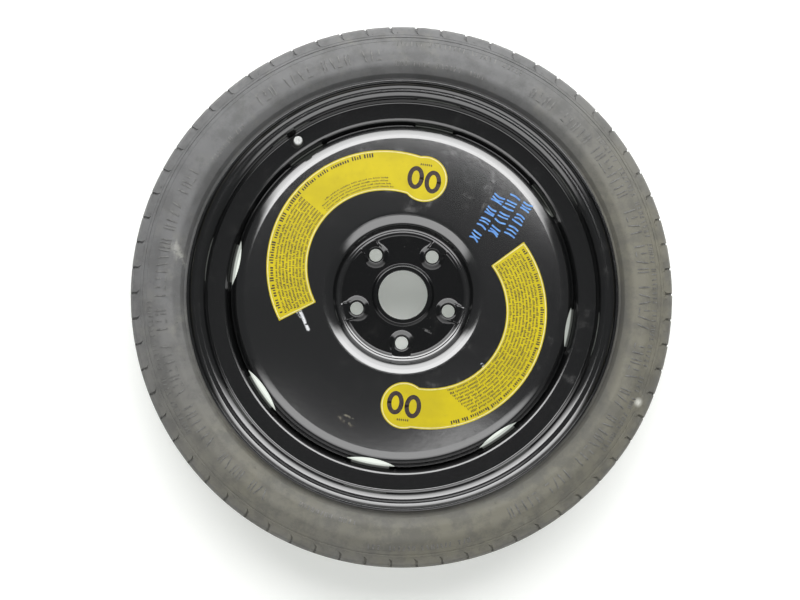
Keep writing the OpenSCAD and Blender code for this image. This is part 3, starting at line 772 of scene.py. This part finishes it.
def bolt_rings(radii, within=200.0):
    """Rings of points round each bolt, where they lie nearer to the hub than within."""
    rows = []
    for i, q in enumerate(radii):
        for bx, by in bolts:
            ring = ring_points(q, 0, (np.arange(60) + i % 2 / 2) * 6) + np.array([bx, by, 0])
            rows.append(ring[np.hypot(ring[:, 0], ring[:, 1]) < within])
    return rows


def front_rows():
    """Fine rows of points at the bends of the pad's front, and a test for points clear of them."""
    rows = bolt_rings([BOLT_R, 8.2, 8.9, 9.35, 9.6, 9.85, 10.2, 10.8, 11.6, 12.4, 13.1, 13.6, 14.0, 14.4,
                       15.0], 68.9)
    rows += [ring_points(r, 0, np.arange(360.0) + i % 2 / 2)
             for i, r in enumerate([69.2, 69.6, 70.0, 70.4, 71.0, 71.6, 72.2, 72.6, 73.0, 73.4])]
    for k in range(BOLT_N):
        turned = np.array(Matrix.Rotation(math.radians(BOLT_ANGLE + 72 * k), 3, "Z"))
        for aside in (9.2, 9.6, 9.85, 10.1, 10.5, 10.9, 11.4):
            for sign in (-1, 1):
                out = BOLT_AT + np.arange(10.9, math.sqrt(68.8**2 - aside**2) - BOLT_AT, 0.8)
                row = np.column_stack([out, np.full(len(out), sign * aside), np.zeros(len(out))])
                rows.append(row @ turned.T)

    def clear(p):
        q, out, aside = nearest_bolt(p[:, 0], p[:, 1])
        r = np.hypot(p[:, 0], p[:, 1])
        return (q > NEAR_BOLT) & ((r < 68.3) | (r > 74.2)) & ((out < 10) | (aside > 12.2))

    return rows, clear


def back_rows():
    """Fine rows of points at the bends of the pad's back, and a test for points clear of them."""
    rows = bolt_rings([BOLT_R, 9.0, 10.5, 11.9, 12.2, 12.7, 13.2, 13.6, 15.0])
    for d in (-1.5, -1.1, -0.7, -0.3, 0.0, 0.3, 0.7, 1.1, 1.5):
        big, small = BACK_R + d, BACK_LOBE + d
        ring = ring_points(big, 0, np.arange(360.0) + 0.5)
        q, _, _ = nearest_bolt(ring[:, 0], ring[:, 1])
        rows.append(ring[q > small + 0.45])
        for bx, by in bolts:
            lobe = ring_points(small, 0, np.arange(100) * 3.6) + np.array([bx, by, 0])
            rows.append(lobe[np.hypot(lobe[:, 0], lobe[:, 1]) > big + 0.45])

    def clear(p):
        q, _, _ = nearest_bolt(p[:, 0], p[:, 1])
        d = np.minimum(np.hypot(p[:, 0], p[:, 1]) - BACK_R, q - BACK_LOBE)
        return (q > NEAR_BOLT) & (np.abs(d) > 2.1)

    return rows, clear


def hub_sheet(height, inner, outer, rows, clear):
    """A face of the hub as a triangulated height over the plane, from fine rows and an even fill."""
    fill = np.concatenate([ring_points(r, 0, np.arange(280) * 360 / 280 + (0.64 if i % 2 else 0))
                           for i, r in enumerate(np.arange(inner + 1.2, outer - 0.7, 1.45))])
    ends = [ring_points(inner, 0, np.arange(180) * 2.0), ring_points(outer, 0, np.arange(360.0))]
    flat = np.concatenate(ends + rows + [fill[clear(fill)]])[:, :2]
    flat = flat[np.hypot(flat[:, 0], flat[:, 1]) < outer + 0.01]
    made = delaunay_2d_cdt([Vector(p) for p in flat], [], [], 0, 1e-5)
    verts = np.array([tuple(v) for v in made[0]])
    faces = []
    for f in made[2]:
        c = verts[list(f)].mean(0)
        if np.hypot(*c) < inner or min(math.hypot(c[0] - bx, c[1] - by) for bx, by in bolts) < BOLT_R:
            continue
        faces.append(tuple(f))
    return np.column_stack([verts, height(verts[:, 0], verts[:, 1])]), faces


def disc_mesh():
    """The disc before its slots are cut: sheet, skirt, hub, bore and bolt holes as one closed skin."""
    front_path = [p for p in sheet_front if p[0] > FRONT_JOIN + 0.2 or p[1] < 20]
    back_path = [p for p in sheet_back if p[0] > BACK_JOIN + 0.2 or p[1] < 20]
    ledge = float(hub_back(np.array([BACK_JOIN]), np.array([0.0]))[0])
    front_path = dense([np.array([FRONT_JOIN, LEDGE_Z])] + front_path, 0.5, 5, closed=False)
    back_path = dense([np.array([BACK_JOIN, ledge])] + back_path, 0.5, 5, closed=False)
    edge = corner((SKIRT_R, 5), (SKIRT_R, SKIRT_END), (197.5, SKIRT_END), 0.6)
    edge += corner((198.5, SKIRT_END), (SKIRT_IN, SKIRT_END), (SKIRT_IN, 5), 0.6)
    outer = spin(front_path[:-1] + edge + back_path[:-1][::-1], 360, closed=False)
    front = hub_sheet(hub_front, BORE_FRONT, FRONT_JOIN, *front_rows())
    back = hub_sheet(hub_back, BORE_BACK, BACK_JOIN, *back_rows())
    bore = dense(rounded([(BORE_FRONT, 29.5), (36.55, 29.5, 0.9), (33.55, 32.1, 1.8), (28.55, 32.1, 0.5),
                          (28.55, 25.5, 0.8), (BORE_BACK, 25.5)]), 0.5, 2, closed=False)
    bore = spin(bore, 180, closed=False)
    walls = []
    beside_bolt = np.array([bolts[0][0] + BOLT_R]), np.array([bolts[0][1]])
    low, high = float(hub_back(*beside_bolt)[0]), float(hub_front(*beside_bolt)[0])
    for bx, by in bolts:
        v, f = spin([(BOLT_R, high), (BOLT_R, (high + low) / 2), (BOLT_R, low)], 60, closed=False)
        walls.append((v + np.array([bx, by, 0]), f))
    return joined(outer, front, back, bore, *walls)


disc = piece("disc_pressed", *disc_mesh(), material=disc_paint)
slot_cutters = []
for k in range(SLOT_N):
    v, f = block(SLOT_R, -6, 50, 240)
    slot_cutters.append((v + np.array([*polar(SLOT_AT, SLOT_ANGLE + 360 / SLOT_N * k), 0]), f))
cut(disc, piece("cutter", *joined(*slot_cutters)))
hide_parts("disc")

# Weld beads


def bead_mesh():
    """A rippled fillet between each two slots, from the skirt's end to the well."""
    r, z, leg = SKIRT_R, SKIRT_END - 0.05, 4.5
    steps, turn = 72, 15
    section = [(0, 0), (1, 0), (0.88, 0.38), (0.62, 0.72), (0.3, 0.98), (0, 1.08)]
    parts = []
    for k in range(SLOT_N):
        middle = SLOT_ANGLE + (k + 0.5) * 360 / SLOT_N
        rows = []
        for i in range(steps + 1):
            t = i / steps
            ends = math.sqrt(max(0.02, 1 - abs(2 * t - 1) ** 6))
            wave = math.sin(t * 2 * math.pi * 17 + 0.4 * math.sin(t * 9 + k))
            size = leg * ends * (1 + 0.05 * wave + rng.uniform(-0.015, 0.015))
            a = middle - turn / 2 + turn * t
            rows.append([(*polar(r - size * inward, a), z - size * down) for inward, down in section])
        parts.append(swept(rows))
    return joined(*parts)


beads = piece("weld_ripples", *bead_mesh(), material=weld_paint, sharp=50)
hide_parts("weld_beads")

# Valve

THREAD_PITCH = 0.8
body_section = rounded([
    (3.55, -13.85), (5.95, -13.85, 1), (8.95, -6.7, 2), (8.95, -2.85, 0.6), (5.7, -2.85), (5.7, 0.05),
    (7.4, 0.05, 0.5), (7.1, 3.5, 2), (5.4, 7, 6), (4.7, 16.5, 0.5), (3.55, 16.5),
])
valve_body = piece("valve_rubber_body", *placed(spin(dense(body_section, 0.3, 1.5), 64), at_valve),
                   material=valve_rubber)
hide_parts("valve_body")


def thread(z, angles):
    """Share of a thread's depth at height z and each angle, 0 on its crest and 1 in its root."""
    return np.abs(2 * ((z / THREAD_PITCH - angles / 360) % 1) - 1)


def uneven_ring(radii, z, angles):
    """A ring of points with a radius of its own at each angle."""
    v = ring_points(1.0, z, angles)
    v[:, :2] *= np.broadcast_to(radii, angles.shape)[:, None]
    return v


def tube_mesh():
    """The brass tube with a real helical thread on its tip."""
    n, depth = 72, 0.38
    foot = [(2.1, 7.1), (2.1, 12.6), (2.6, 14.1), (2.6, 25.2), (2.75, 25.5)]
    inner = [(1.4, -14.8), (1.4, 6.1)] + foot
    tip = [(3.25, 25.5)]
    zs = np.arange(24.95, 16.55, -0.1)
    outer = [(3.5, 16.55), (3.5, -14.8)]
    rows = [(0, p) for p in inner + tip] + [(depth, (3.85, z)) for z in zs] + [(0, p) for p in outer]
    angles = np.arange(n) * 360 / n
    verts = [uneven_ring(r - cut_in * thread(z, angles), z, angles) for cut_in, (r, z) in rows]
    faces = []
    m = len(rows)
    for i in range(m):
        faces += zip_rings(i * n, angles, ((i + 1) % m) * n, angles)
    return np.concatenate(verts), faces


tube = piece("valve_brass_tube", *placed(tube_mesh(), at_valve), material=brass, sharp=60)
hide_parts("valve_tube")


def cap_mesh():
    """The cap: rounded ribs round it, a dimple in its end and a threaded inside."""
    n, ribs = 240, 20
    foot, end, wall = 17.0, 28.55, 4.85
    angles = np.arange(n) * 360 / n
    rib = np.abs(np.sin(np.radians(angles * ribs / 2))) ** 0.8
    dimple_r, ball_r, ball_up = 1.2, 1.7, 1.2

    def dimple(r):
        return end + ball_up - math.sqrt(ball_r**2 - r**2)

    outside = rounded([(wall, foot + 0.01), (wall, end, 0.9), (0.0, end)])
    rows = []
    for p in dense(outside, 0.35, 0.8, closed=False):
        share = smooth((p[0] - 4.0) / 0.7) * smooth((end - 0.5 - p[1]) / 1.2)
        share *= smooth((p[1] - foot + 0.35) / 0.4)
        z = p[1] if p[0] > 1.63 or p[1] < end - 0.01 else min(end, dimple(p[0]))
        rows.append((p[0], z, 0.4 * share))
    rows = [row for row in rows if row[0] > dimple_r or row[1] < end - 0.01]
    rows += [(dimple_r, end - 0.004, 0)] + [(r, dimple(r), 0) for r in (1.19, 0.9, 0.6, 0.3, 0.02)]
    verts = [uneven_ring(r + grow * (1 - rib), z, angles) for r, z, grow in rows]
    roof, thread_r, mouth_r, thread_end = 26.85, 4.0, 4.15, 20.7
    inside = [(0.02, roof), (thread_r, roof)] + [(thread_r, z) for z in np.arange(26.7, thread_end, -0.12)]
    inside += [(mouth_r, 20.6), (mouth_r, foot)]
    for r, z in inside:
        cut_in = 0.16 if thread_end < z < 26.8 else 0
        verts.append(uneven_ring(r + cut_in * thread(z, angles), z, angles))
    count = len(verts)
    faces = []
    for i in range(count - 1):
        if i == len(rows) - 1:
            continue
        faces += zip_rings(i * n, angles, (i + 1) * n, angles)
    faces += zip_rings((count - 1) * n, angles, 0, angles)
    return np.concatenate(verts), faces


cap = piece("cap_ribbed", *placed(cap_mesh(), at_valve), body="cap", material=cap_plastic, sharp=45)
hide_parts("valve_cap")

bare_nodes = {"core_housing": core_brass, "core_gasket": red_rubber, "core_spring": steel,
              "core_pin": core_brass, "pin_seal": black_rubber, "cap_seal": black_rubber,
              "upper_label": yellow, "lower_label": yellow}
for name, look in bare_nodes.items():
    mesh = nodes[name].data
    mesh.materials.clear()
    mesh.materials.append(look)

# Labels' print

LABEL_TOP, FILM_T = 45.2, 0.03
MID_R, HEAD_R, BAND = 112.5, 26.8, 141.5


def slab(points_in, points_out, z=LABEL_TOP, t=FILM_T):
    """A thin closed strip between two rows of (x, y) points."""
    n = len(points_in)
    verts = [(x, y, h) for h in (z, z + t) for row in (points_in, points_out) for x, y in row]
    faces = []
    low_in, low_out, top_in, top_out = 0, n, 2 * n, 3 * n
    for i in range(n - 1):
        j = i + 1
        faces.append((top_in + i, top_in + j, top_out + j, top_out + i))
        faces.append((low_in + i, low_out + i, low_out + j, low_in + j))
        faces.append((low_in + i, low_in + j, top_in + j, top_in + i))
        faces.append((low_out + j, low_out + i, top_out + i, top_out + j))
    faces.append((low_in, top_in, top_out, low_out))
    faces.append((low_in + n - 1, low_out + n - 1, top_out + n - 1, top_in + n - 1))
    return verts, faces


def arc_strip(r0, r1, a0, a1):
    """A strip between two radii and two angles."""
    steps = max(1, math.ceil(abs(a1 - a0) / 2.5))
    angles = [a0 + (a1 - a0) * k / steps for k in range(steps + 1)]
    return slab([polar(r0, a) for a in angles], [polar(r1, a) for a in angles])


def oval(cx, cy, rx, ry, w, turn, n=40):
    """A plain upright ring, as wide as w."""
    c, s = math.cos(math.radians(turn)), math.sin(math.radians(turn))
    rows = []
    for grow in (-w / 2, w / 2):
        row = []
        for k in range(n + 1):
            a = 2 * math.pi * k / n
            x, y = (rx + grow) * math.cos(a), (ry + grow) * math.sin(a)
            row.append((cx + x * c - y * s, cy + x * s + y * c))
        rows.append(row)
    return slab(rows[0], rows[1])


def text_like(rows):
    """Small plain bars along the band, a row for each (radius, first angle, last angle, height, pitch)."""
    parts = []
    for r, a0, a1, height, pitch in rows:
        step = math.degrees(pitch / r)
        a = a0
        while a < a1:
            for _ in range(rng.randint(3, 9)):
                if a > a1:
                    break
                tall = height * rng.choice((0.7, 0.7, 1.0))
                base = r - height / 2
                wide = step * rng.uniform(0.45, 0.70)
                parts.append(arc_strip(base, base + tall, a, a + wide))
                a += step
            a += step * 0.9
    return parts


def edge_line():
    """The pale line just inside the label's edge, all the way round."""
    inset, w = 1.1, 0.9
    lo, hi = 89 + inset, 136 - inset
    head = HEAD_R - inset
    meet = [math.degrees(math.acos((r * r + MID_R**2 - head**2) / (2 * r * MID_R))) for r in (lo, hi)]
    parts = [arc_strip(lo, lo + w, meet[0], BAND - 0.5), arc_strip(hi - w, hi, meet[1], BAND - 0.5)]
    end = BAND - 0.5
    step = math.degrees(w / MID_R)
    parts.append(slab([polar(lo, end - step), polar(hi, end - step)], [polar(lo, end), polar(hi, end)]))
    # round the head, from the band's outer edge to its inner edge
    starts = []
    for r, a in ((lo, meet[0]), (hi, meet[1])):
        x, y = polar(r, a)
        starts.append(math.degrees(math.atan2(y, x - MID_R)))
    a0, a1 = starts[1], starts[0] - 360
    angles = [a0 + (a1 - a0) * k / 60 for k in range(61)]
    rings = [[polar(r, a) for a in angles] for r in (head - w, head)]
    parts.append(slab(*[[(MID_R + x, y) for x, y in ring] for ring in rings]))
    return joined(*parts)


def label_print(name, centre, head_angle, rows, digits_turn):
    place = Matrix.Translation((*centre, 0)) @ Matrix.Rotation(math.radians(head_angle), 4, "Z")
    line = piece(name + "_edge_line", *placed(edge_line(), place), material=pale_line)
    parts = text_like(rows)
    c, s = math.cos(math.radians(digits_turn)), math.sin(math.radians(digits_turn))

    def oval_at(x, y, *shape):
        parts.append(oval(MID_R + x * c - y * s, x * s + y * c, *shape))

    for side in (-1, 1):
        oval_at(side * 10.2, -1.0 - side * 1.2, 7.0, 10.9, 5.2, digits_turn)
    for x in np.arange(-6, 7, 2.4):
        oval_at(x, 16.5, 0.45, 1.0, 0.7, digits_turn, 8)
    printed = piece(name + "_print", *placed(joined(*parts), place), material=ink)


upper_rows = [(130.6, 30, 138, 4.6, 3.0), (104.0, 22, 66, 1.7, 1.4), (100.6, 22, 70, 1.7, 1.4),
              (97.2, 20, 70, 1.7, 1.4), (93.8, 18, 70, 1.7, 1.4)]
upper_rows += [(93.8 + 3.9 * k, 74, 139, 2.7, 1.7) for k in range(9)]
lower_rows = [(130.6, 26, 139, 4.2, 2.7)] + [(93.8 + 3.9 * k, 28 + 1.2 * k, 139, 2.7, 1.7) for k in range(9)]
label_print("upper_label", (-21.8, 31.2), 65.8, upper_rows, -65.8 - 8)
label_print("lower_label", (30.1, -19.6), -105.2, lower_rows, 105.2 + 180 - 6)

# Hand strokes



def stroke(points, w):
    """A felt pen's stroke through a few points, as a thin ribbon."""
    pts = [np.array(p, float) for p in points]
    fine = []
    for i in range(len(pts) - 1):
        p0, p1, p2, p3 = pts[max(i - 1, 0)], pts[i], pts[i + 1], pts[min(i + 2, len(pts) - 1)]
        for k in range(6):
            t1 = k / 6
            fine.append(0.5 * (2 * p1 + (p2 - p0) * t1 + (2 * p0 - 5 * p1 + 4 * p2 - p3) * t1**2
                               + (3 * p1 - p0 - 3 * p2 + p3) * t1**3))
    fine.append(pts[-1])
    rows = ([], [])
    for i, p in enumerate(fine):
        way = unit(fine[min(i + 1, len(fine) - 1)] - fine[max(i - 1, 0)])
        side = np.array([-way[1], way[0]]) * w / 2 * (0.7 if i in (0, len(fine) - 1) else 1)
        rows[0].append(tuple(p - side))
        rows[1].append(tuple(p + side))
    return slab(rows[0], rows[1], FACE_Z)


def tally_marks():
    """Three slanting rows of plain strokes, where the photo has hand writing."""
    parts = []
    along, across = unit(np.array([-0.52, -0.85])), unit(np.array([0.85, -0.52]))
    for row, (x, y, count) in enumerate(((112.0, 114.0, 8), (130.0, 113.5, 7), (145.0, 105.0, 6))):
        start = np.array([x, y])
        for k in range(count):
            base = start + along * (8.3 * k + rng.uniform(-0.8, 0.8))
            lean = rng.uniform(-0.3, 0.3)
            reach = rng.uniform(11.5, 14.5)
            bend = along * rng.uniform(-1.6, 1.6)
            ends = [base - across * reach / 2, base + bend, base + across * reach / 2 + along * lean * 6]
            parts.append(stroke(ends, 2.0))
            if k % 2 == row % 2:
                parts.append(stroke([p + along * rng.uniform(3.4, 4.6) for p in ends], 1.7))
    return joined(*parts)


strokes = piece("marker_strokes", *tally_marks(), material=blue_ink)

# Floor, light and camera

floor_look = Look("floor", (0.86, 0.86, 0.85), 0.6)
cloudy = floor_look.noise(3.0, 2, 0.5)
floor_look.set("Base Color", floor_look.mix(cloudy, (0.86, 0.86, 0.85), (0.88, 0.88, 0.87)))
# painted light: the floor under the wheel glows, grey-green in the middle and paler towards the rim, dimmer
# again past the rim
reach = floor_look.polar()[0]
inner = floor_look.span(reach, 0.042, 0.054, 0.23, 0.34)
middle = floor_look.span(reach, 0.090, 0.180, 0.0, 0.58)
outer = floor_look.span(reach, 0.225, 0.290, 0.0, -0.70)
floor_look.set("Emission Color", (0.92, 0.98, 0.90, 1))
floor_look.set("Emission Strength", floor_look.math("ADD", floor_look.math("ADD", inner, middle), outer))
floor_mesh = bpy.data.meshes.new("floor")
FLOOR_HALF, FLOOR_Z = 6.0, -0.0626
corners = [(x * FLOOR_HALF, y * FLOOR_HALF, FLOOR_Z) for x, y in ((-1, -1), (1, -1), (1, 1), (-1, 1))]
floor_mesh.from_pydata(corners, [], [(0, 1, 2, 3)])
floor_mesh.materials.append(floor_look.mat)
floor = linked("floor", floor_mesh)

world = bpy.data.worlds.new("studio")
bpy.context.scene.world = world
world.use_nodes = True
sky = world.node_tree.nodes["Background"].inputs
sky[0].default_value = (0.96, 0.98, 1.0, 1)
sky[1].default_value = 0.10


def glow(name, middle, half_turn, low, high, radiance):
    """A big curved studio light round the wheel, with its radiance as (degrees off the zenith, value)."""
    away, columns, rows = 2.6, 24, 12
    turns = middle + half_turn * np.linspace(-1, 1, columns + 1)
    verts = []
    for k in range(rows + 1):
        off = math.radians(low + (high - low) * k / rows)
        verts.append(ring_points(away * math.sin(off), away * math.cos(off), turns))
    faces = []
    for k in range(rows):
        for j in range(columns):
            a = k * (columns + 1) + j
            faces.append((a, a + columns + 1, a + columns + 2, a + 1))
    mesh = bpy.data.meshes.new(name)
    mesh.from_pydata(np.concatenate(verts).tolist(), [], faces)
    look = Look(name, (0.0, 0.0, 0.0), 1.0)
    parts = look.node("ShaderNodeSeparateXYZ", Vector=look.vector("NORMALIZE", look.here))
    off = look.times(look.math("ARCCOSINE", parts.outputs[2]), 180 / math.pi)
    value = radiance[0][1]
    for (a0, v0), (a1, v1) in zip(radiance, radiance[1:]):
        value = look.math("ADD", value, look.span(off, a0, a1, 0.0, v1 - v0))
    flat = look.vector("NORMALIZE", look.vector("MULTIPLY", look.here, (1, 1, 0)))
    m = math.radians(middle)
    ahead = look.vector("DOT_PRODUCT", flat, (math.cos(m), math.sin(m), 0), out=1)
    fade = look.span(ahead, math.cos(math.radians(half_turn)), math.cos(math.radians(half_turn - 14)))
    look.set("Emission Color", (1.0, 1.0, 1.0, 1))
    look.set("Emission Strength", look.times(value, fade))
    mesh.materials.append(look.mat)
    lamp = linked(name, mesh)
    lamp.visible_camera = False
    lamp.visible_shadow = False


glow("far_glow", 87, 60, 15.5, 88, [(34, 4.8), (42, 4.0), (60, 3.4), (86, 0.9)])
glow("near_glow", 267, 66, 7.5, 60, [(45, 1.7), (60, 0.9)])

CAMERA_AT = (-0.0613, -0.0981, 1.5757)
AIM = (-0.0023, -0.0042, 0.0)
camera_data = bpy.data.cameras.new("camera")
camera_data.sensor_width, camera_data.lens = 36, 59.9
camera = linked("camera", camera_data)
back = (Vector(CAMERA_AT) - Vector(AIM)).normalized()
right = Vector((0, 1, 0)).cross(back).normalized()
up = back.cross(right)
turn = Matrix((right, up, back)).transposed()
camera.matrix_world = Matrix.Translation(CAMERA_AT) @ turn.to_4x4()
camera_data.clip_start, camera_data.clip_end = 0.01, 50
bpy.context.scene.camera = camera
bpy.context.scene.view_settings.view_transform = "Standard"
